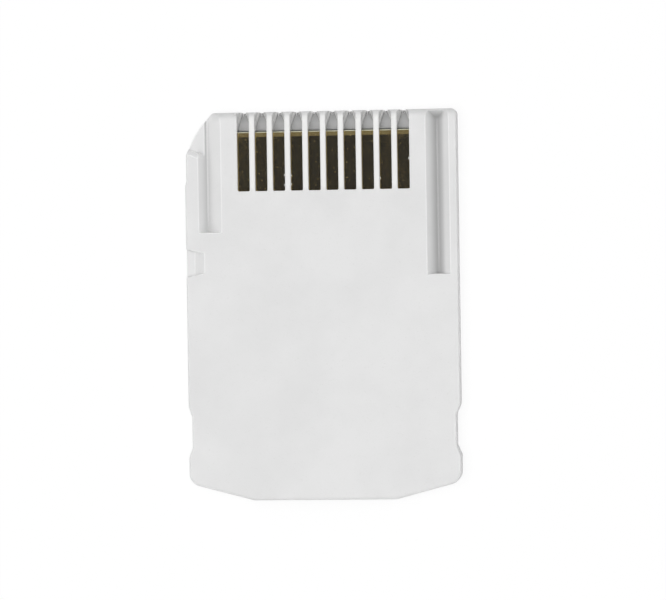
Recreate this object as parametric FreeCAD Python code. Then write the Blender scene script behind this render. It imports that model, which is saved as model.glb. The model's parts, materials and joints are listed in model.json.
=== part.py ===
import FreeCAD, Part
import math
import os

# Memory card adapter: a thin game-card shaped body that takes a micro memory card in its tail.
# The part lies on its label face. Z points out of the contact face, Y towards the contacts,
# X to the right as seen from the contact side. All sizes are in millimetres.

V = FreeCAD.Vector

# Body
body_width = 22.0
body_length = 31.29
body_thickness = 2.0
parting_height = 0.9
edge_round = 0.15
label_wall = 0.35
face_wall = 0.36

# Front corners
corner_cut_width = 2.25
corner_cut_length = 3.365
corner_cut_bulge = 0.33
corner_cut_round = 7.0
corner_end_round = 0.4
front_corner_round = 0.45
side_relief_depth = 0.1
side_relief_length = 2.1
side_relief_ramp = 0.4

# Tail
tail_flat_width = 11.5
tail_corner_rise = 1.39
tail_corner_round = 1.05
tail_flat_round = 1.5

# Grip notches, one on each side
grip_notch_depth_left = 0.28
grip_notch_depth_right = 0.34
grip_notch_length = 2.5
grip_notch_ramp = 0.8
grip_notch_from_tail = 5.545
grip_notch_round = 0.35

# Contact windows and the channels in front of the board
contact_count = 10
contact_pitch = 1.437
contact_offset = 0.24
window_width = 0.987
window_length = 6.365
window_round = 0.1
flare_length = 1.15
flare_width = 0.38
flare_from_face = 0.1
flare_shoulder_width = 0.27
flare_shoulder_fall = 0.42
nose_round_length = 0.75
nose_round_drop = 0.33
floor_setback = 0.03
trough_length = 0.32
trough_fall = 0.5
trough_side_height = 0.25
trough_bottom_width = 0.12

# Circuit board and its edge contacts
board_thickness = 0.4
board_setback = 1.575
board_end_gap = 0.1
board_margin = 0.45
board_clearance = 0.1
board_rear_gap = 0.1
board_corner_round = 0.3
board_bevel_length = 0.42
board_bevel_drop = 0.15
board_ledge_width = 0.7
board_rest_width = 0.6
board_rest_setback = 0.4
board_post_diameter = 1.0
board_post_clearance = 0.05
board_post_spread = 11.8
pad_thickness = 0.04
pad_underlap = 0.05
pad_tip_gap = 0.08
pad_hidden_length = 0.5

# Side grooves in the contact face
groove_width = 1.87
groove_valley_width = 0.12
groove_end_draft = 0.08
left_groove_depth = 0.6
right_groove_depth = 0.85
left_rail_width = 1.07
right_rail_width = 0.63
left_rail_flank_width = 0.71
right_rail_flank_width = 0.98
left_groove_length = 9.65
right_groove_length = 13.255
right_groove_ramp_setback = 0.7
right_groove_ramp_length = 0.78
corner_ledge_depth = 0.45
rail_front_setback = 3.5
rail_front_slant = 0.43
rail_front_draft = 0.05
rail_tip_length = 0.4
rail_tip_drop = 0.25

# Latch notch in the left edge
latch_from_nose = 12.1
latch_outer_length = 2.27
latch_inner_length = 1.6
latch_depth = 0.55
latch_floor_width = 0.65
latch_slope_width = 0.85

# Micro memory card and the bay that takes it
card_width = 11.0
card_length = 15.0
card_body_height = 0.7
card_ridge_height = 1.0
card_ridge_length = 1.6
card_side_clearance = 0.15
card_height_clearance = 0.09
card_floor_wall = 0.55
key_width = 0.7
key_length = 6.4
key_ramp = 0.6
mouth_chamfer = 0.2
thumb_notch_width = 7.0
thumb_notch_depth = 1.5

# Card springs and the holder that carries them
spring_count = 8
spring_pitch = 1.1
spring_width = 0.5
spring_thickness = 0.1
spring_bend_radius = 0.08
spring_foot_length = 1.0
spring_drop_place = 1.1
spring_drop_run = 0.3
spring_lift = 0.07
spring_root_length = 0.35
spring_reach = 1.9
spring_crest_rise = 0.25
spring_tip_length = 0.65
spring_tip_fall = 0.2
spring_well_margin = 0.5
spring_well_length = 3.2
holder_depth = 2.2
holder_clearance = 0.03

# Leaf spring that grips the side of the card
retainer_length = 4.6
retainer_end_length = 0.6
retainer_height = 0.55
retainer_thickness = 0.12
retainer_bow = 0.65
retainer_bend_radius = 0.12
retainer_pocket_depth = 0.75
retainer_clearance = 0.05
retainer_from_tail = 8.2

# Small parts on the underside of the board
chip_length = 1.0
chip_width = 0.5
chip_height = 0.5
chip_cap_length = 0.25
chip_cap_rise = 0.02
chip_pitch = 2.0
chip_row_gap = 1.4
chip_names = ["bulk_capacitor", "decoupling_capacitor", "pull_up_resistor_1", "pull_up_resistor_2"]

# Weld tongues that join the two shells
tongue_width = 0.5
tongue_length = 2.4
tongue_height = 0.3
tongue_clearance = 0.05
tongues_from_tail = [3.4, 10.6, 16.4]

# How far a cutting tool reaches past the surface that it cuts
over = 0.5
# How far a joined feature reaches into the wall that carries it
root = 0.1

# Places worked out from the sizes above
half_width = body_width / 2
nose_y = body_length / 2
tail_y = -nose_y
ceiling_z = body_thickness - face_wall
board_top_z = ceiling_z - pad_thickness
board_bottom_z = board_top_z - board_thickness
board_nose_y = nose_y - board_setback
board_width = (contact_count - 1) * contact_pitch + window_width + 2 * board_margin
board_left_x = contact_offset - board_width / 2
board_right_x = contact_offset + board_width / 2
pocket_front_y = board_nose_y + board_end_gap
window_end_y = nose_y - window_length
pad_rear_y = window_end_y - pad_hidden_length
contact_xs = [contact_offset + (i - (contact_count - 1) / 2) * contact_pitch for i in range(contact_count)]
left_groove_x = -half_width + left_rail_width
left_valley_x = left_groove_x + left_rail_flank_width
right_groove_x = half_width - right_rail_width - groove_width
right_valley_x = half_width - right_rail_width - right_rail_flank_width
card_stop_y = tail_y + card_length
bay_half_width = card_width / 2 + card_side_clearance
bay_ceiling_z = card_floor_wall + card_body_height + card_height_clearance
board_rear_y = card_stop_y + board_rear_gap
holder_front_y = card_stop_y + holder_depth
spring_xs = [(i - (spring_count - 1) / 2) * spring_pitch for i in range(spring_count)]
retainer_y = tail_y + retainer_from_tail
tongue_x = (bay_half_width + half_width) / 2
board_post_y = (holder_front_y + pad_rear_y) / 2


def flat(z):
    """Places a profile drawn in X and Y at a height."""
    return lambda x, y: V(x, y, z)


def across(y):
    """Places a profile drawn in X and Z at a place along the length."""
    return lambda x, z: V(x, y, z)


def along(x):
    """Places a profile drawn in Y and Z at a place across the width."""
    return lambda y, z: V(x, y, z)


def box(x0, x1, y0, y1, z0, z1):
    return Part.makeBox(x1 - x0, y1 - y0, z1 - z0, V(x0, y0, z0))


def post(x, y, diameter, z0, z1):
    return Part.makeCylinder(diameter / 2, z1 - z0, V(x, y, z0))


def rounded_wire(corners, place):
    """Closed wire through corners (u, v, radius), where each radius rounds its corner."""
    bends = []
    for index, (u, v, radius) in enumerate(corners):
        here = V(u, v, 0)
        before = corners[index - 1]
        after = corners[(index + 1) % len(corners)]
        back = (V(before[0], before[1], 0) - here).normalize()
        ahead = (V(after[0], after[1], 0) - here).normalize()
        half_angle = back.getAngle(ahead) / 2
        reach = radius / math.tan(half_angle)
        middle = here
        if radius > 0:
            middle = here + (back + ahead).normalize() * (radius / math.sin(half_angle) - radius)
        bends.append((here + back * reach, middle, here + ahead * reach, radius))
    edges = []
    for index, (start, middle, end, radius) in enumerate(bends):
        last = bends[index - 1][2]
        if last.distanceToPoint(start) > 1e-6:
            edges.append(Part.LineSegment(place(last.x, last.y), place(start.x, start.y)).toShape())
        if radius > 0:
            points = [place(point.x, point.y) for point in (start, middle, end)]
            edges.append(Part.Arc(*points).toShape())
    return Part.Wire(edges)


def bowed_wire(corners, place):
    """Closed wire through corners (u, v, bow), where bow bends the side after its corner to the left."""
    edges = []
    for index, (u, v, bow) in enumerate(corners):
        next_u, next_v, next_bow = corners[(index + 1) % len(corners)]
        if bow == 0:
            edges.append(Part.LineSegment(place(u, v), place(next_u, next_v)).toShape())
        else:
            share = bow / math.hypot(next_u - u, next_v - v)
            middle_u = (u + next_u) / 2 - (next_v - v) * share
            middle_v = (v + next_v) / 2 + (next_u - u) * share
            middle = place(middle_u, middle_v)
            edges.append(Part.Arc(place(u, v), middle, place(next_u, next_v)).toShape())
    return Part.Wire(edges)


def prism(corners, place, direction):
    return Part.Face(rounded_wire(corners, place)).extrude(direction)


def bowed_prism(corners, place, direction):
    return Part.Face(bowed_wire(corners, place)).extrude(direction)


def sharp(points):
    return [(u, v, 0) for u, v in points]


def strip(path, thickness, bend_radius):
    """Corners of a bent strip whose middle line follows the path."""
    left = []
    right = []
    for index, (u, v) in enumerate(path):
        here = V(u, v, 0)
        before = V(*path[max(index - 1, 0)], 0)
        after = V(*path[min(index + 1, len(path) - 1)], 0)
        first = here - before if index > 0 else after - here
        second = after - here if index < len(path) - 1 else first
        first.normalize()
        second.normalize()
        normal = V(-first.y - second.y, first.x + second.x, 0).normalize()
        side = normal * (thickness / 2 / normal.dot(V(-first.y, first.x, 0)))
        turn = first.x * second.y - first.y * second.x
        bent = abs(turn) > 1e-6
        inner = bend_radius if bent else 0
        outer = bend_radius + thickness if bent else 0
        left.append((u + side.x, v + side.y, inner if turn > 0 else outer))
        right.append((u - side.x, v - side.y, outer if turn > 0 else inner))
    return left + right[::-1]


def edges_at_height(shape, z):
    return [edge for edge in shape.Edges
            if abs(edge.BoundBox.ZMin - z) < 1e-6 and abs(edge.BoundBox.ZMax - z) < 1e-6]


def grip_notch_corners(side, depth):
    """Corners of a grip notch, from the tail end to the nose end."""
    centre = tail_y + grip_notch_from_tail
    half = grip_notch_length / 2
    edge = side * half_width
    inner = side * (half_width - depth)
    return [
        (edge, centre - half - grip_notch_ramp, grip_notch_round),
        (inner, centre - half, grip_notch_round),
        (inner, centre + half, grip_notch_round),
        (edge, centre + half + grip_notch_ramp, grip_notch_round),
    ]


def corner_cut_corners():
    """Corners of the slightly bowed cut across the front left corner."""
    end_x = -half_width + corner_cut_width
    side_x = -half_width + side_relief_depth
    side_y = nose_y - corner_cut_length
    across_cut = V(side_x - end_x, side_y - nose_y, 0)
    outward = V(across_cut.y, -across_cut.x, 0).normalize() * corner_cut_bulge
    relief_end_y = side_y - side_relief_length
    return [
        (end_x, nose_y, corner_end_round),
        ((end_x + side_x) / 2 + outward.x, (nose_y + side_y) / 2 + outward.y, corner_cut_round),
        (side_x, side_y, corner_end_round),
        (side_x, relief_end_y, 0),
        (-half_width, relief_end_y - side_relief_ramp, 0),
    ]


def body_corners():
    """Outline of both shells, counter-clockwise from the left end of the tail's flat."""
    tail_corner_y = tail_y + tail_corner_rise
    corners = [
        (-tail_flat_width / 2, tail_y, tail_flat_round),
        (tail_flat_width / 2, tail_y, tail_flat_round),
        (half_width, tail_corner_y, tail_corner_round),
    ]
    corners += grip_notch_corners(1, grip_notch_depth_right)
    corners += [(half_width, nose_y, front_corner_round)]
    corners += corner_cut_corners()
    corners += grip_notch_corners(-1, grip_notch_depth_left)[::-1]
    corners += [(-half_width, tail_corner_y, tail_corner_round)]
    return corners


def bay_corners():
    """Outline of the card bay, with the key step on its right and a flared mouth."""
    key_x = bay_half_width - key_width
    key_end_y = card_stop_y - key_length
    return sharp([
        (-bay_half_width - mouth_chamfer - over, tail_y - over),
        (bay_half_width + mouth_chamfer + over, tail_y - over),
        (bay_half_width, tail_y + mouth_chamfer),
        (bay_half_width, key_end_y - key_ramp),
        (key_x, key_end_y),
        (key_x, card_stop_y),
        (-bay_half_width, card_stop_y),
        (-bay_half_width, tail_y + mouth_chamfer),
    ])


def bay_cut(z0, z1):
    return prism(bay_corners(), flat(z0), V(0, 0, z1 - z0))


def retainer_pocket(z0, z1):
    half = retainer_length / 2 + retainer_clearance
    outer_x = -bay_half_width - retainer_pocket_depth
    return box(outer_x, -bay_half_width + over, retainer_y - half, retainer_y + half, z0, z1)


def flare(wall_x, side, low_z):
    """Foot of a rib beside a window, which slants out of the rib towards the nose under a shoulder."""
    lean = flare_width / flare_length
    reach = flare_length + over
    nose_x = wall_x - side * lean * over
    shoulder_z = body_thickness - flare_from_face
    return prism(sharp([
        (nose_x + side * (flare_width + over), low_z),
        (nose_x + side * (flare_width + over), shoulder_z),
        (nose_x, shoulder_z),
        (nose_x - side * flare_shoulder_width, shoulder_z - flare_shoulder_fall),
        (nose_x - side * flare_width, parting_height),
        (nose_x - side * flare_width, low_z),
    ]), across(nose_y + over), V(side * lean * reach, -reach, 0))


def window_cut(x):
    """One contact window, between ribs whose feet widen towards the nose."""
    half = window_width / 2
    low_z = parting_height - over
    window = prism([
        (x - half, window_end_y, window_round),
        (x + half, window_end_y, window_round),
        (x + half, nose_y + over, 0),
        (x - half, nose_y + over, 0),
    ], flat(low_z), V(0, 0, body_thickness + over - low_z))
    return window.cut([flare(x + side * half, side, low_z) for side in (-1, 1)])


def nose_round_cut():
    """Takes the face edge off the nose with a long arc that leaves the face smoothly."""
    slope = math.atan2(nose_round_drop, nose_round_length)
    bow = math.hypot(nose_round_drop, nose_round_length) / 2 * math.tan(slope / 2)
    start_y = nose_y - nose_round_length
    top_z = body_thickness + over
    return bowed_prism([
        (start_y, body_thickness, bow),
        (nose_y, body_thickness - nose_round_drop, 0),
        (nose_y + over, body_thickness - nose_round_drop, 0),
        (nose_y + over, top_z, 0),
        (start_y, top_z, 0),
    ], along(-half_width - over), V(body_width + 2 * over, 0, 0))


def groove_cut(left_x, valley_x, length, depth):
    """A groove with two flanks, a narrow floor, a steep end wall and an open front."""
    right_x = left_x + groove_width
    half_floor = groove_valley_width / 2
    end_y = nose_y - length
    top_z = body_thickness + over
    floor_z = body_thickness - depth
    groove = prism(sharp([
        (left_x, body_thickness),
        (valley_x - half_floor, floor_z),
        (valley_x + half_floor, floor_z),
        (right_x, body_thickness),
        (right_x, top_z),
        (left_x, top_z),
    ]), across(end_y), V(0, length + over, 0))
    end_wall = prism(sharp([
        (end_y - over, floor_z - over),
        (end_y + groove_end_draft, floor_z - over),
        (end_y + groove_end_draft, floor_z),
        (end_y, body_thickness),
        (end_y, top_z),
        (end_y - over, top_z),
    ]), along(left_x), V(groove_width, 0, 0))
    return groove.cut(end_wall)


def right_groove_ramp():
    """Ramp that closes the right groove just behind the nose."""
    foot_y = nose_y - right_groove_ramp_setback
    floor_z = body_thickness - right_groove_depth
    past_y = nose_y + 2 * over
    return prism(sharp([
        (foot_y, floor_z - over),
        (foot_y, floor_z),
        (foot_y + right_groove_ramp_length, body_thickness),
        (past_y, body_thickness),
        (past_y, floor_z - over),
    ]), along(right_groove_x), V(groove_width, 0, 0))


def corner_ledge_cut():
    """Lowers the cut corner beside the left groove, up to the slanted front of the rail."""
    front_y = nose_y - rail_front_setback
    outer_x = -half_width - over
    outer_y = front_y + rail_front_slant * (left_valley_x - outer_x)
    ledge_z = body_thickness - corner_ledge_depth
    height = corner_ledge_depth + over
    ledge = prism(sharp([
        (outer_x, outer_y),
        (left_valley_x, front_y),
        (left_valley_x, nose_y + 2 * over),
        (outer_x, nose_y + 2 * over),
    ]), flat(ledge_z), V(0, -rail_front_draft * height / corner_ledge_depth, height))
    tip_y = outer_y - rail_front_draft
    tip_z = body_thickness - rail_tip_drop
    tip_width = over + left_rail_width
    tip = prism(sharp([
        (tip_y - rail_tip_length, body_thickness),
        (tip_y, tip_z),
        (tip_y + over, tip_z),
        (tip_y + over, body_thickness + over),
        (tip_y - rail_tip_length, body_thickness + over),
    ]), along(outer_x), V(tip_width, -rail_front_slant * tip_width, 0))
    return ledge.fuse(tip)


def latch_notch_cut():
    """Notch that opens through the left edge of the contact-side shell only."""
    centre_y = nose_y - latch_from_nose
    floor_z = body_thickness - latch_depth
    outer_x = -half_width - over
    slope_x = -half_width + latch_floor_width
    inner_x = slope_x + latch_slope_width
    past_x = inner_x + latch_slope_width * over / latch_depth
    profile = prism(sharp([
        (outer_x, floor_z),
        (slope_x, floor_z),
        (past_x, body_thickness + over),
        (outer_x, body_thickness + over),
    ]), across(centre_y - latch_outer_length), V(0, 2 * latch_outer_length, 0))
    outer = latch_outer_length / 2
    inner = latch_inner_length / 2
    plan = prism(sharp([
        (outer_x, centre_y - outer),
        (-half_width, centre_y - outer),
        (inner_x, centre_y - inner),
        (past_x, centre_y - inner),
        (past_x, centre_y + inner),
        (inner_x, centre_y + inner),
        (-half_width, centre_y + outer),
        (outer_x, centre_y + outer),
    ]), flat(floor_z - over), V(0, 0, latch_depth + 2 * over))
    return profile.common(plan)


def tongues(clearance, z0, z1):
    """Blocks for the weld tongues, or with a clearance for the slots that take them."""
    half_x = tongue_width / 2 + clearance
    half_y = tongue_length / 2 + clearance
    blocks = []
    for x in (-tongue_x, tongue_x):
        for place in tongues_from_tail:
            y = tail_y + place
            blocks.append(box(x - half_x, x + half_x, y - half_y, y + half_y, z0, z1))
    return blocks


def board_posts(clearance, z0, z1):
    """Round posts that hold the board, or with a clearance the holes for them."""
    diameter = board_post_diameter + 2 * clearance
    xs = (contact_offset - board_post_spread / 2, contact_offset + board_post_spread / 2)
    return [post(x, board_post_y, diameter, z0, z1) for x in xs]


def contact_side_shell():
    height = body_thickness - parting_height
    shell = prism(body_corners(), flat(parting_height), V(0, 0, height))
    shell = shell.makeFillet(edge_round, edges_at_height(shell, body_thickness))
    shell = shell.cut(nose_round_cut())
    pocket = box(board_left_x - board_clearance, board_right_x + board_clearance,
                 card_stop_y, pocket_front_y, parting_height - over, ceiling_z)
    ridge_z = card_floor_wall + card_ridge_height + card_height_clearance
    ridge_relief = box(-bay_half_width, bay_half_width, tail_y - over, tail_y + card_ridge_length,
                       parting_height, ridge_z)
    retainer_top_z = card_floor_wall + retainer_height + 2 * retainer_clearance
    cuts = [pocket, bay_cut(parting_height - over, bay_ceiling_z), ridge_relief]
    cuts += [retainer_pocket(parting_height - over, retainer_top_z)]
    cuts += [window_cut(x) for x in contact_xs]
    right_groove = groove_cut(right_groove_x, right_valley_x, right_groove_length, right_groove_depth)
    cuts += [groove_cut(left_groove_x, left_valley_x, left_groove_length, left_groove_depth)]
    cuts += [right_groove.cut(right_groove_ramp()), corner_ledge_cut(), latch_notch_cut()]
    slot_top_z = parting_height + tongue_height + tongue_clearance
    cuts += tongues(tongue_clearance, parting_height - over, slot_top_z)
    return shell.cut(cuts).removeSplitter()


def trough_cut(x):
    """Lead-in that falls away towards the nose between the feet of two ribs."""
    top_half = window_width / 2 - flare_width
    bottom_half = trough_bottom_width / 2
    start_y = nose_y - trough_length
    reach = trough_length + over
    return prism(sharp([
        (x - bottom_half, parting_height),
        (x + bottom_half, parting_height),
        (x + top_half, parting_height + trough_side_height),
        (x + top_half, parting_height + trough_fall + over),
        (x - top_half, parting_height + trough_fall + over),
        (x - top_half, parting_height + trough_side_height),
    ]), across(start_y), V(0, reach, -reach * trough_fall / trough_length))


def thumb_notch_cut():
    """Shallow arc through the label wall at the mouth, to push the card out with a fingertip."""
    radius = (thumb_notch_width ** 2 / 4 + thumb_notch_depth ** 2) / (2 * thumb_notch_depth)
    return post(0, tail_y + thumb_notch_depth - radius, 2 * radius, -over, card_floor_wall + over)


def label_side_shell():
    shell = prism(body_corners(), flat(0), V(0, 0, parting_height))
    shell = shell.makeFillet(edge_round, edges_at_height(shell, 0))
    top_z = parting_height + over
    pocket = box(board_left_x - board_clearance, board_right_x + board_clearance,
                 card_stop_y, pocket_front_y, label_wall, top_z)
    well_half = (spring_count - 1) * spring_pitch / 2 + spring_width / 2 + spring_well_margin
    well_rear_y = card_stop_y - spring_well_length
    well = box(-well_half, well_half, well_rear_y, card_stop_y + over, label_wall, top_z)
    channel_half = (contact_count - 1) * contact_pitch / 2 + window_width / 2
    setback = box(contact_offset - channel_half, contact_offset + channel_half,
                  nose_y - floor_setback, nose_y + over, -over, top_z)
    cuts = [pocket, well, bay_cut(card_floor_wall, top_z), retainer_pocket(card_floor_wall, top_z)]
    cuts += [setback, thumb_notch_cut()]
    cuts += [trough_cut(x) for x in contact_xs]
    shell = shell.cut(cuts)
    rest_front_y = board_nose_y - board_rest_setback - board_bevel_length
    inner_left_x = board_left_x + board_ledge_width
    inner_right_x = board_right_x - board_ledge_width
    rest_rear_y = rest_front_y - board_rest_width
    root_z = label_wall - root
    joins = [
        box(board_left_x, inner_left_x, board_rear_y, rest_front_y, root_z, board_bottom_z),
        box(inner_right_x, board_right_x, board_rear_y, rest_front_y, root_z, board_bottom_z),
        box(board_left_x, board_right_x, rest_rear_y, rest_front_y, root_z, board_bottom_z),
    ]
    joins += board_posts(0, root_z, board_top_z)
    joins += tongues(0, parting_height - root, parting_height + tongue_height)
    return shell.fuse(joins).removeSplitter()


def circuit_board():
    bevel_z = board_top_z - board_bevel_drop
    side = prism(sharp([
        (board_rear_y, board_bottom_z),
        (board_nose_y, board_bottom_z),
        (board_nose_y, bevel_z),
        (board_nose_y - board_bevel_length, board_top_z),
        (board_rear_y, board_top_z),
    ]), along(board_left_x), V(board_width, 0, 0))
    plan = prism([
        (board_left_x, board_rear_y, board_corner_round),
        (board_right_x, board_rear_y, board_corner_round),
        (board_right_x, board_nose_y, board_corner_round),
        (board_left_x, board_nose_y, board_corner_round),
    ], flat(board_bottom_z - over), V(0, 0, board_thickness + 2 * over))
    holes = board_posts(board_post_clearance, board_bottom_z - over, board_top_z + over)
    return side.common(plan).cut(holes)


def contact_pad(x):
    """Edge contact that lies on the board and follows its bevel."""
    bend_y = board_nose_y - board_bevel_length
    slope = board_bevel_drop / board_bevel_length
    tip_y = board_nose_y - pad_tip_gap
    tip_z = board_top_z - slope * (tip_y - bend_y)
    angle = math.atan(slope)
    mitre = pad_thickness * math.tan(angle / 2)
    half = window_width / 2 + pad_underlap
    return prism(sharp([
        (pad_rear_y, board_top_z),
        (bend_y, board_top_z),
        (tip_y, tip_z),
        (tip_y + pad_thickness * math.sin(angle), tip_z + pad_thickness * math.cos(angle)),
        (bend_y + mitre, board_top_z + pad_thickness),
        (pad_rear_y, board_top_z + pad_thickness),
    ]), along(x - half), V(2 * half, 0, 0))


def spring_path():
    """Middle line of a card spring in Y and Z, from its soldered foot to its tip."""
    foot_z = board_bottom_z - spring_thickness / 2
    low_z = label_wall + spring_lift + spring_thickness / 2
    drop_y = card_stop_y + spring_drop_place
    crest_y = card_stop_y - spring_reach
    crest_z = card_floor_wall + spring_crest_rise
    return [
        (holder_front_y + spring_foot_length, foot_z),
        (drop_y, foot_z),
        (drop_y - spring_drop_run, low_z),
        (card_stop_y - spring_root_length, low_z),
        (crest_y, crest_z),
        (crest_y - spring_tip_length, crest_z - spring_tip_fall),
    ]


def card_spring(x):
    profile = strip(spring_path(), spring_thickness, spring_bend_radius)
    return prism(profile, along(x - spring_width / 2), V(spring_width, 0, 0))


def contact_holder():
    """Moulded strip between the board and the label wall, slotted for the springs."""
    left_x = board_left_x + board_ledge_width + holder_clearance
    right_x = board_right_x - board_ledge_width - holder_clearance
    holder = box(left_x, right_x, card_stop_y, holder_front_y, label_wall, board_bottom_z)
    slot = strip(spring_path(), spring_thickness + 2 * holder_clearance, 0)
    half = spring_width / 2 + holder_clearance
    slots = [prism(slot, along(x - half), V(2 * half, 0, 0)) for x in spring_xs]
    return holder.cut(slots)


def card_retainer():
    """Bowed leaf that stands in its pocket and presses on the side of the card."""
    half = retainer_length / 2
    seat_x = -bay_half_width - retainer_pocket_depth + retainer_clearance + retainer_thickness / 2
    path = [
        (seat_x, retainer_y - half),
        (seat_x, retainer_y - half + retainer_end_length),
        (seat_x + retainer_bow, retainer_y),
        (seat_x, retainer_y + half - retainer_end_length),
        (seat_x, retainer_y + half),
    ]
    profile = strip(path, retainer_thickness, retainer_bend_radius)
    return prism(profile, flat(card_floor_wall + retainer_clearance), V(0, 0, retainer_height))


def chip(index):
    """Chip part with raised end caps, soldered to the underside of the board."""
    x = contact_offset + (index - (len(chip_names) - 1) / 2) * chip_pitch
    y = holder_front_y + spring_foot_length + chip_row_gap
    top_z = board_bottom_z
    half = chip_length / 2
    cap_half = chip_width / 2
    middle_half = cap_half - chip_cap_rise
    low_z = top_z - chip_height
    middle = box(x - half, x + half, y - middle_half, y + middle_half,
                 low_z + chip_cap_rise, top_z - chip_cap_rise)
    caps = []
    for start in (x - half, x + half - chip_cap_length):
        caps.append(box(start, start + chip_cap_length, y - cap_half, y + cap_half, low_z, top_z))
    return middle.fuse(caps)


def pieces():
    yield "contact_side_shell", contact_side_shell()
    yield "label_side_shell", label_side_shell()
    yield "circuit_board", circuit_board()
    yield "contact_holder", contact_holder()
    yield "card_retainer", card_retainer()
    for index, x in enumerate(contact_xs):
        yield "contact_pad_%02d" % (index + 1), contact_pad(x)
    for index, x in enumerate(spring_xs):
        yield "card_spring_%d" % (index + 1), card_spring(x)
    for index, name in enumerate(chip_names):
        yield name, chip(index)


os.makedirs("parts", exist_ok=True)
for node, shape in pieces():
    shape.exportStep("parts/%s.step" % node)
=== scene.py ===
import json
import math

import bpy
from mathutils import Matrix, Vector


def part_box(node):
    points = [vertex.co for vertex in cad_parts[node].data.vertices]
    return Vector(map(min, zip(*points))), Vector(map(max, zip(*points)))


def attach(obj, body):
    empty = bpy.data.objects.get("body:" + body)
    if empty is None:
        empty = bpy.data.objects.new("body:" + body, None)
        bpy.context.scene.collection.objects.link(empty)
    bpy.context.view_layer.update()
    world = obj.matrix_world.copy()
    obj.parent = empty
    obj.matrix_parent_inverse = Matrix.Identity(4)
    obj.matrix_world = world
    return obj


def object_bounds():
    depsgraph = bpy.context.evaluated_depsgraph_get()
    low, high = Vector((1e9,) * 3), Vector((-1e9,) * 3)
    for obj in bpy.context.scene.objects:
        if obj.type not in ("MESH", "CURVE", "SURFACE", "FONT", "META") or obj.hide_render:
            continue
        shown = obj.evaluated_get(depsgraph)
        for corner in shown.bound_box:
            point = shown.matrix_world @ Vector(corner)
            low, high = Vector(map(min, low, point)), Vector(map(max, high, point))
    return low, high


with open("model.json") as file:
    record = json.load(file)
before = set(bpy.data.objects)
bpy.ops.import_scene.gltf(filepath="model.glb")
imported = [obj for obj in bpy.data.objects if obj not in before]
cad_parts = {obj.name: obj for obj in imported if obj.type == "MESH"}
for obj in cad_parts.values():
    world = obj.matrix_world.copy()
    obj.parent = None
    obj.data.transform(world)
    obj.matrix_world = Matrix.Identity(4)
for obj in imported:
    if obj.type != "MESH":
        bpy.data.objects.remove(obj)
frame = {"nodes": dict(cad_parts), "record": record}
cad_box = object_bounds()

MM = 0.001

# Camera: its direction is fitted to the outline and windows in the photograph, its distance is chosen
PHOTO_WIDTH = 666
PHOTO_HEIGHT = 600
FOCAL_PIXELS = 3103
CAMERA_PLACE = (26.6 * MM, 3.0 * MM, 250 * MM)
AIM_PLACE = (0.87 * MM, 0.43 * MM, 2.0 * MM)
CAMERA_ROLL = math.radians(0.89)
SENSOR_WIDTH = 36.0

# Shell: its face, its half sizes, and how far the grooves, the rounded rim and the nose go
FACE_Z = cad_box[1].z
HALF_WIDTH = cad_box[1].x
HALF_LENGTH = cad_box[1].y
GROOVE_DEPTH = 0.75 * MM
RIM_DEPTH = 0.12 * MM
NOSE_ROUND_DEPTH = 0.34 * MM
NOSE_ROUND_LENGTH = 0.75 * MM

# Zones of painted light and shade on the shell: the ribs between the windows, painted lighter, and bands
# measured in from the nose and the tail, painted darker
RIBS_CENTRE = 0.24 * MM
RIBS_HALF_WIDTH = 6.3 * MM
RIBS_START = 9.3 * MM
NOSE_SHADE_START = 0.9 * MM
NOSE_SHADE_END = 0.2 * MM
TAIL_BAND_START = 2.2 * MM
TAIL_BAND_END = 1.8 * MM
CREVICE_REACH = 2.5 * MM

# Zone of the contacts' dull smears: how far they lie from the middle of the row
SMEAR_START = 4 * MM
SMEAR_FULL = 7 * MM

# Specks of moulding flash on the window edges and the nose: pixel of the photograph and radius
FLASH_SPECKS = {
    "flash_nose": (235, 113.5, 0.1 * MM),
    "flash_window_3_upper": (284.7, 175, 0.1 * MM),
    "flash_window_3_lower": (284.7, 185, 0.1 * MM),
    "flash_rib_3_upper": (290.8, 175.5, 0.1 * MM),
    "flash_rib_3_lower": (291.3, 184, 0.1 * MM),
    "flash_window_8": (380.5, 178, 0.1 * MM),
    "flash_window_9": (409.3, 158, 0.12 * MM),
}

# Light levels
ZENITH_STRENGTH = 0.8
HORIZON_STRENGTH = 0.05
KEY_PLACE = (-0.07, 0.0, 0.88)
KEY_SIZE = 0.6
KEY_ENERGY = 4.2
FLOOR_WHITE_SHARE = 0.85
FLOOR_GAP = 0.01 * MM
FLOOR_BOUNCE = 0.8
FLAG_HEIGHT = 0.62
FLAG_RADIUS = 0.75
FLAG_LEVEL = 0.009
FLAG_EDGE_LEVEL = 0.24


def srgb(red, green, blue):
    """Linear colour from 0 to 255 display values."""
    linear = []
    for value in (red, green, blue):
        share = value / 255
        linear.append(share / 12.92 if share <= 0.04045 else ((share + 0.055) / 1.055) ** 2.4)
    return (*linear, 1.0)


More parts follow.
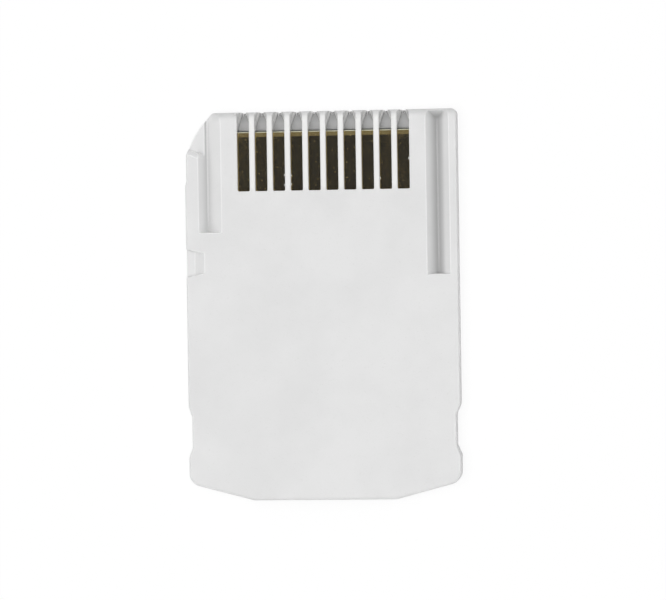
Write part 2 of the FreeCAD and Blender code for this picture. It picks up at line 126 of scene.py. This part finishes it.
class Tree:
    """A node tree with short calls to add nodes."""

    def __init__(self, tree):
        self.nodes = tree.nodes
        self.links = tree.links

    def node(self, kind, **settings):
        made = self.nodes.new(kind)
        for key, value in settings.items():
            setattr(made, key, value)
        return made

    def link(self, source, target):
        self.links.new(source, target)

    def math(self, operation, first, second=0.0):
        made = self.node("ShaderNodeMath", operation=operation)
        for socket, value in zip(made.inputs, (first, second)):
            if isinstance(value, (int, float)):
                socket.default_value = value
            else:
                self.link(value, socket)
        return made.outputs[0]

    def product(self, first, *others):
        for other in others:
            first = self.math("MULTIPLY", first, other)
        return first

    def seen_directly(self):
        """1 where the camera, a reflection or a clear piece sees it, and 0 for its light."""
        path = self.node("ShaderNodeLightPath").outputs
        glossy = self.math("MAXIMUM", path["Is Glossy Ray"], path["Is Transmission Ray"])
        return self.math("MAXIMUM", path["Is Camera Ray"], glossy)

    def ramp(self, value, low, high, low_out=0.0, high_out=1.0):
        made = self.node("ShaderNodeMapRange")
        made.inputs["From Min"].default_value = low
        made.inputs["From Max"].default_value = high
        made.inputs["To Min"].default_value = low_out
        made.inputs["To Max"].default_value = high_out
        self.link(value, made.inputs["Value"])
        return made.outputs["Result"]

    def mix(self, share, first, second):
        made = self.node("ShaderNodeMix", data_type="RGBA")
        self.link(share, made.inputs["Factor"])
        for name, value in (("A", first), ("B", second)):
            socket = [s for s in made.inputs if s.name == name and s.type == "RGBA"][0]
            if isinstance(value, tuple):
                socket.default_value = value
            else:
                self.link(value, socket)
        return [s for s in made.outputs if s.type == "RGBA"][0]


class Shader(Tree):
    """A material's node tree, with textures placed on the object."""

    def __init__(self, name):
        self.material = bpy.data.materials.new(name)
        self.material.use_nodes = True
        super().__init__(self.material.node_tree)
        self.surface = self.nodes["Principled BSDF"]
        self.output = self.nodes["Material Output"]
        self.place = self.node("ShaderNodeTexCoord").outputs["Object"]
        self.axes = self.parts_of(self.place)

    def set(self, **values):
        for key, value in values.items():
            self.surface.inputs[key.replace("_", " ")].default_value = value

    def parts_of(self, vector):
        """The X, Y and Z of a vector."""
        split = self.node("ShaderNodeSeparateXYZ")
        self.link(vector, split.inputs["Vector"])
        return split.outputs

    def stretched(self, x, y, z):
        mapping = self.node("ShaderNodeMapping")
        mapping.inputs["Scale"].default_value = (x, y, z)
        self.link(self.place, mapping.inputs["Vector"])
        return mapping.outputs["Vector"]

    def noise(self, size, detail=2.0, roughness=0.5, place=None):
        """Noise with features of the given size in metres."""
        made = self.node("ShaderNodeTexNoise")
        made.inputs["Scale"].default_value = 1 / size
        made.inputs["Detail"].default_value = detail
        made.inputs["Roughness"].default_value = roughness
        self.link(place or self.place, made.inputs["Vector"])
        return made.outputs["Fac"]

    def dots(self, spacing, radius, high):
        """Sparse small dots, with the given value at their middle. The radius is a share of the spacing."""
        made = self.node("ShaderNodeTexVoronoi")
        made.inputs["Scale"].default_value = 1 / spacing
        self.link(self.place, made.inputs["Vector"])
        return self.ramp(made.outputs["Distance"], radius, radius * 0.6, 0.0, high)

    def crevice(self, reach, low, high):
        """0 in the open, up to 1 deep in a groove or corner."""
        made = self.node("ShaderNodeAmbientOcclusion", samples=12)
        made.inputs["Distance"].default_value = reach
        return self.ramp(made.outputs["AO"], high, low)

    def height(self, high, low):
        """0 at the higher place, 1 at the lower."""
        return self.ramp(self.axes["Z"], high, low)

    def upward(self, low, high):
        """1 on surfaces that face up, 0 on walls."""
        normal = self.node("ShaderNodeNewGeometry").outputs["Normal"]
        return self.ramp(self.parts_of(normal)["Z"], low, high)

    def deep_places(self):
        """0 on the face and in the open, up to 1 at the bottom of the grooves and channels."""
        depth = self.math("POWER", self.height(FACE_Z, FACE_Z - GROOVE_DEPTH), 1.6)
        closed = self.crevice(CREVICE_REACH, 0.78, 0.88)
        middle = self.inside(0.9 * MM, 0, 0.3 * MM, 0.01 * MM)
        return self.product(depth, closed, self.upward(0.3, 0.6), middle)

    def inside(self, margin_x, margin_y, blend_x, blend_y):
        """1 on what lies inside the outline by more than the margins, 0 along the outline."""
        across = self.math("ABSOLUTE", self.axes["X"])
        along = self.math("ABSOLUTE", self.axes["Y"])
        across = self.ramp(across, HALF_WIDTH - margin_x, HALF_WIDTH - margin_x - blend_x)
        along = self.ramp(along, HALF_LENGTH - margin_y, HALF_LENGTH - margin_y - blend_y)
        return self.product(across, along)

    def rounded_rim(self):
        """1 on the rounded rim of the face and on the nose, 0 elsewhere."""
        start = self.height(FACE_Z, FACE_Z - RIM_DEPTH)
        end = self.height(FACE_Z - NOSE_ROUND_DEPTH - RIM_DEPTH, FACE_Z - NOSE_ROUND_DEPTH)
        middle = self.inside(0.2 * MM, 0.05 * MM, 0.05 * MM, NOSE_ROUND_LENGTH)
        return self.product(start, end, self.math("SUBTRACT", 1.0, middle))

    def nose_end(self):
        """0 behind the nose, rising to 1 close to it."""
        return self.ramp(self.axes["Y"], HALF_LENGTH - NOSE_SHADE_START, HALF_LENGTH - NOSE_SHADE_END)

    def tail_rim(self):
        """0 on the face, rising to 1 at the edge of the tail."""
        band = self.ramp(self.axes["Y"], TAIL_BAND_START - HALF_LENGTH, TAIL_BAND_END - HALF_LENGTH)
        return self.product(self.edge_mask(self.bevel(0.35 * MM), 0.0, 0.12), band)

    def ribs(self):
        """1 on the field of ribs between the windows, 0 elsewhere."""
        away = self.math("ABSOLUTE", self.math("SUBTRACT", self.axes["X"], RIBS_CENTRE))
        across = self.ramp(away, RIBS_HALF_WIDTH, RIBS_HALF_WIDTH - 0.1 * MM)
        along = self.ramp(self.axes["Y"], RIBS_START, RIBS_START + 0.3 * MM)
        return self.product(across, along)

    def bevel(self, radius):
        made = self.node("ShaderNodeBevel", samples=6)
        made.inputs["Radius"].default_value = radius
        return made.outputs["Normal"]

    def edge_mask(self, rounded, low, high):
        """0 on flat ground, up to 1 where the rounded normal leaves the true one; it masks painted highlight
        and painted shade at edges.
        """
        made = self.node("ShaderNodeVectorMath", operation="DOT_PRODUCT")
        self.link(rounded, made.inputs[0])
        self.link(self.node("ShaderNodeNewGeometry").outputs["Normal"], made.inputs[1])
        return self.ramp(self.math("SUBTRACT", 1.0, made.outputs["Value"]), low, high)

    def bump(self, height, depth, normal=None):
        made = self.node("ShaderNodeBump")
        made.inputs["Strength"].default_value = 1.0
        made.inputs["Distance"].default_value = depth
        self.link(height, made.inputs["Height"])
        if normal is not None:
            self.link(normal, made.inputs["Normal"])
        return made.outputs["Normal"]

    def use(self, **sources):
        for key, source in sources.items():
            self.link(source, self.surface.inputs[key.replace("_", " ")])


def shell_plastic():
    """White moulded plastic with a fine matt grain and slightly rounded edges; its colour also carries
    painted light on the edges, ribs and walls, and painted shade along the rim, the tail and in the grooves
    and channels.
    """
    shader = Shader("shell_plastic")
    cloud = shader.noise(4.0 * MM, detail=3)
    speck = shader.noise(0.16 * MM, detail=2, roughness=0.6)
    tone = shader.mix(shader.ramp(cloud, 0.35, 0.65), srgb(226, 226, 226), srgb(230, 230, 230))
    tone = shader.mix(shader.ramp(speck, 0.62, 0.8, 0, 0.5), tone, srgb(214, 214, 212))
    edge = shader.bevel(0.12 * MM)
    # Painted highlight: edges where the rounded normal bends away from the true one are painted near white.
    middle = shader.inside(0.3 * MM, 0.4 * MM, 0.2 * MM, 0.2 * MM)
    painted_edge_highlight = shader.product(shader.edge_mask(edge, 0.0, 0.03), middle)
    tone = shader.mix(painted_edge_highlight, tone, srgb(254, 254, 254))
    # Painted light: the field of ribs between the windows is painted lighter.
    tone = shader.mix(shader.ribs(), tone, srgb(238, 238, 237))
    # Painted light: walls and other surfaces that do not face up are painted lighter.
    tone = shader.mix(shader.upward(0.3, 0.0), tone, srgb(244, 244, 244))
    top = shader.upward(0.3, 0.6)
    # Painted shade: the upward-facing rounded rim and the nose are painted darker.
    tone = shader.mix(shader.product(shader.rounded_rim(), top), tone, srgb(216, 216, 216))
    # Painted shade: the top of the tail is painted darker towards its edge.
    tone = shader.mix(shader.product(shader.tail_rim(), top), tone, srgb(204, 204, 204))
    # Painted shade: the bottoms of grooves and channels, where they lie deep and closed in, are painted
    # darker.
    deep = shader.deep_places()
    tone = shader.mix(deep, tone, srgb(179, 179, 179))
    # Painted shade: deeper still where the channels open at the nose.
    tone = shader.mix(shader.product(deep, shader.nose_end()), tone, srgb(150, 150, 150))
    shader.use(Base_Color=tone)
    shader.use(Roughness=shader.ramp(speck, 0.3, 0.7, 0.42, 0.56))
    peel = shader.bump(shader.noise(0.5 * MM, detail=2), 0.004 * MM, edge)
    grain = shader.bump(speck, 0.004 * MM, peel)
    shader.use(Normal=grain)
    shader.set(Specular_IOR_Level=0.4)
    shader.set(Subsurface_Weight=0.7, Subsurface_Radius=(1, 1, 1), Subsurface_Scale=0.25 * MM)
    return shader.material


def contact_gold():
    """Polished gold plating with fine scratches along the way the contact slides."""
    shader = Shader("contact_gold")
    streaks = shader.noise(0.05 * MM, detail=3, place=shader.stretched(1, 0.08, 1))
    spots = shader.noise(0.12 * MM, detail=4, roughness=0.7)
    stain = shader.noise(1.2 * MM, detail=3)
    tone = shader.mix(shader.ramp(stain, 0.35, 0.7), srgb(204, 182, 116), srgb(177, 152, 96))
    tone = shader.mix(shader.ramp(spots, 0.66, 0.8), tone, srgb(235, 215, 170))
    shader.use(Base_Color=tone)
    shader.use(Roughness=shader.ramp(spots, 0.4, 0.8, 0.12, 0.34))
    shader.use(Normal=shader.bump(streaks, 0.0006 * MM, shader.bevel(0.01 * MM)))
    outer = shader.ramp(shader.math("ABSOLUTE", shader.axes["X"]), SMEAR_START, SMEAR_FULL)
    smear = shader.product(shader.ramp(stain, 0.48, 0.6), shader.ramp(streaks, 0.45, 0.6))
    dull = shader.product(smear, outer, 0.12)
    flecks = shader.dots(0.42 * MM, 0.14, 0.3)
    shader.use(Metallic=shader.math("SUBTRACT", 1.0, shader.math("ADD", dull, flecks)))
    shader.set(Coat_Weight=1.0, Coat_Roughness=0.6)
    return shader.material


def board_laminate():
    """Glass fibre laminate with a weave and a pale cut edge."""
    shader = Shader("board_laminate")
    weave_x = shader.noise(0.25 * MM, place=shader.stretched(1, 0.2, 1))
    weave_y = shader.noise(0.25 * MM, place=shader.stretched(0.2, 1, 1))
    tone = shader.mix(weave_x, srgb(196, 196, 168), srgb(214, 212, 190))
    tone = shader.mix(shader.ramp(weave_y, 0.4, 0.7, 0, 0.6), tone, srgb(222, 222, 204))
    shader.use(Base_Color=tone)
    shader.use(Normal=shader.bump(weave_x, 0.004 * MM))
    shader.set(Roughness=0.5)
    return shader.material


def holder_plastic():
    """Black insulator with a faint mould grain."""
    shader = Shader("holder_plastic")
    grain = shader.noise(0.08 * MM, detail=3)
    shader.use(Base_Color=shader.mix(grain, srgb(24, 24, 25), srgb(44, 44, 46)))
    shader.use(Normal=shader.bump(grain, 0.003 * MM, shader.bevel(0.02 * MM)))
    shader.set(Roughness=0.5)
    return shader.material


def strip_metal(name, light, dark):
    """Rolled and stamped metal strip with fine lines along its length."""
    shader = Shader(name)
    lines = shader.noise(0.03 * MM, detail=3, place=shader.stretched(1, 0.05, 1))
    shader.use(Base_Color=shader.mix(lines, light, dark))
    shader.use(Roughness=shader.ramp(lines, 0.3, 0.7, 0.22, 0.36))
    shader.use(Normal=shader.bump(lines, 0.0008 * MM))
    shader.set(Metallic=1.0)
    return shader.material


def chip_body(name, body, half_length, centre_x):
    """Ceramic chip with tinned ends."""
    shader = Shader(name)
    grain = shader.noise(0.06 * MM, detail=3)
    distance = shader.math("ABSOLUTE", shader.math("SUBTRACT", shader.axes["X"], centre_x))
    cap = shader.ramp(distance, half_length * 0.49, half_length * 0.51)
    inner = shader.mix(grain, body, srgb(120, 96, 72) if body[0] > 0.1 else srgb(40, 40, 40))
    shader.use(Base_Color=shader.mix(cap, inner, srgb(196, 196, 192)))
    shader.use(Metallic=cap)
    shader.use(Roughness=shader.ramp(grain, 0.3, 0.7, 0.3, 0.45))
    return shader.material


def dress(names, material):
    for name in names:
        mesh = frame["nodes"][name].data
        mesh.materials.clear()
        mesh.materials.append(material)


def nodes_in_slot(slot):
    return [part["node"] for part in frame["record"]["subparts"] if part["material_slot"] == slot]


def photo_point(pixel_x, pixel_y, height):
    """Place at a height above the floor that the camera sees at a pixel of the photograph."""
    turn = bpy.context.scene.camera.rotation_euler.to_matrix()
    across = (pixel_x - PHOTO_WIDTH / 2) / FOCAL_PIXELS
    up = (PHOTO_HEIGHT / 2 - pixel_y) / FOCAL_PIXELS
    ray = turn @ Vector((across, up, -1))
    start = Vector(CAMERA_PLACE)
    return start + ray * ((height - start.z) / ray.z)


def add_flash(name, pixel_x, pixel_y, radius, material):
    """Speck of moulding flash on the nearest wall of the contact-side shell."""
    shell = frame["nodes"]["contact_side_shell"]
    place = photo_point(pixel_x, pixel_y, FACE_Z - radius)
    near = shell.closest_point_on_mesh(shell.matrix_world.inverted() @ place)[1]
    near = shell.matrix_world @ near
    near.y = min(near.y, HALF_LENGTH - radius)
    near.z = min(near.z, FACE_Z - radius)
    bpy.ops.mesh.primitive_ico_sphere_add(subdivisions=2, radius=radius, location=near)
    speck = bpy.context.object
    speck.name = name
    speck.data.materials.append(material)
    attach(speck, "root")


def make_floor():
    """Pale floor that shows white where it is not in shadow, a hair below the label face."""
    bpy.ops.mesh.primitive_plane_add(size=4.0, location=(0, 0, -FLOOR_GAP))
    floor = bpy.context.object
    floor.name = "floor"
    shader = Shader("floor_paper")
    fibre = shader.noise(0.6 * MM, detail=2)
    white = shader.mix(fibre, srgb(252, 252, 252), srgb(254, 254, 254))
    seen = shader.seen_directly()
    bounce = (FLOOR_BOUNCE, FLOOR_BOUNCE, FLOOR_BOUNCE, 1.0)
    shader.use(Base_Color=shader.mix(seen, bounce, white))
    shader.set(Roughness=0.9, Specular_IOR_Level=0.0)
    glow = shader.node("ShaderNodeEmission")
    share = shader.ramp(seen, 0, 1, 0, FLOOR_WHITE_SHARE)
    blend = shader.node("ShaderNodeMixShader")
    shader.link(share, blend.inputs["Fac"])
    shader.link(shader.surface.outputs[0], blend.inputs[1])
    shader.link(glow.outputs[0], blend.inputs[2])
    shader.link(blend.outputs[0], shader.output.inputs["Surface"])
    floor.data.materials.append(shader.material)


def make_flag():
    """Dark card round the camera, which only polished metal reflects."""
    bpy.ops.mesh.primitive_circle_add(vertices=96, radius=FLAG_RADIUS, fill_type="NGON",
                                      location=(0, 0, FLAG_HEIGHT))
    flag = bpy.context.object
    flag.name = "camera_flag"
    shader = Shader("flag_card")
    away = shader.node("ShaderNodeVectorMath", operation="LENGTH")
    shader.link(shader.place, away.inputs[0])
    level = shader.ramp(away.outputs["Value"], 0.12, 0.45, FLAG_LEVEL, FLAG_EDGE_LEVEL)
    glow = shader.node("ShaderNodeEmission")
    shader.link(level, glow.inputs["Strength"])
    shader.link(glow.outputs[0], shader.output.inputs["Surface"])
    flag.data.materials.append(shader.material)
    flag.visible_camera = False
    flag.visible_diffuse = False
    flag.visible_transmission = False
    flag.visible_shadow = False


def make_world():
    """Soft light from above, and plain white wherever the camera or a reflection sees past the set."""
    world = bpy.data.worlds.new("studio")
    bpy.context.scene.world = world
    world.use_nodes = True
    tree = Tree(world.node_tree)
    light = tree.nodes["Background"]
    light.inputs["Color"].default_value = (1, 1, 1, 1)
    split = tree.node("ShaderNodeSeparateXYZ")
    tree.link(tree.node("ShaderNodeTexCoord").outputs["Generated"], split.inputs["Vector"])
    strength = tree.ramp(split.outputs["Z"], 0, 1, HORIZON_STRENGTH, ZENITH_STRENGTH)
    tree.link(strength, light.inputs["Strength"])
    white = tree.node("ShaderNodeBackground")
    white.inputs["Strength"].default_value = 1.0
    blend = tree.node("ShaderNodeMixShader")
    tree.link(tree.seen_directly(), blend.inputs["Fac"])
    tree.link(light.outputs[0], blend.inputs[1])
    tree.link(white.outputs[0], blend.inputs[2])
    tree.link(blend.outputs[0], tree.nodes["World Output"].inputs["Surface"])


def make_softbox(name, place, size, energy):
    """Square area light aimed at the middle of the object."""
    data = bpy.data.lights.new(name, "AREA")
    data.shape = "SQUARE"
    data.size = size
    data.energy = energy
    light = bpy.data.objects.new(name, data)
    bpy.context.scene.collection.objects.link(light)
    light.location = place
    light.rotation_euler = (-Vector(place)).to_track_quat("-Z", "Y").to_euler()
    light.visible_camera = False
    light.visible_glossy = False


def make_camera():
    """Camera a little to the right of straight above, rolled slightly about its own line of sight."""
    data = bpy.data.cameras.new("camera")
    camera = bpy.data.objects.new("camera", data)
    bpy.context.scene.collection.objects.link(camera)
    data.sensor_width = SENSOR_WIDTH
    data.lens = SENSOR_WIDTH * FOCAL_PIXELS / PHOTO_WIDTH
    data.clip_start = 0.01
    data.clip_end = 10
    ahead = (Vector(AIM_PLACE) - Vector(CAMERA_PLACE)).normalized()
    right = ahead.cross(Vector((math.sin(CAMERA_ROLL), math.cos(CAMERA_ROLL), 0))).normalized()
    up = right.cross(ahead)
    camera.location = CAMERA_PLACE
    camera.rotation_euler = Matrix((right, up, -ahead)).transposed().to_euler()
    bpy.context.scene.camera = camera


plastic = shell_plastic()
dress(nodes_in_slot("shell_plastic"), plastic)
dress(nodes_in_slot("contact_gold"), contact_gold())
dress(nodes_in_slot("board_laminate"), board_laminate())
dress(nodes_in_slot("holder_plastic"), holder_plastic())
alloy = strip_metal("spring_alloy", srgb(222, 190, 128), srgb(190, 156, 96))
dress(nodes_in_slot("spring_alloy"), alloy)
steel = strip_metal("retainer_steel", srgb(200, 200, 198), srgb(160, 160, 160))
dress(nodes_in_slot("retainer_steel"), steel)
for slot, colour in (("capacitor_body", srgb(150, 120, 92)), ("resistor_body", srgb(22, 22, 23))):
    for name in nodes_in_slot(slot):
        low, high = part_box(name)
        dress([name], chip_body(name, colour, (high.x - low.x) / 2, (high.x + low.x) / 2))

make_floor()
make_flag()
make_world()
make_softbox("key_light", KEY_PLACE, KEY_SIZE, KEY_ENERGY)
make_camera()
for name, (pixel_x, pixel_y, radius) in FLASH_SPECKS.items():
    add_flash(name, pixel_x, pixel_y, radius, plastic)
bpy.context.scene.view_settings.view_transform = "Standard"
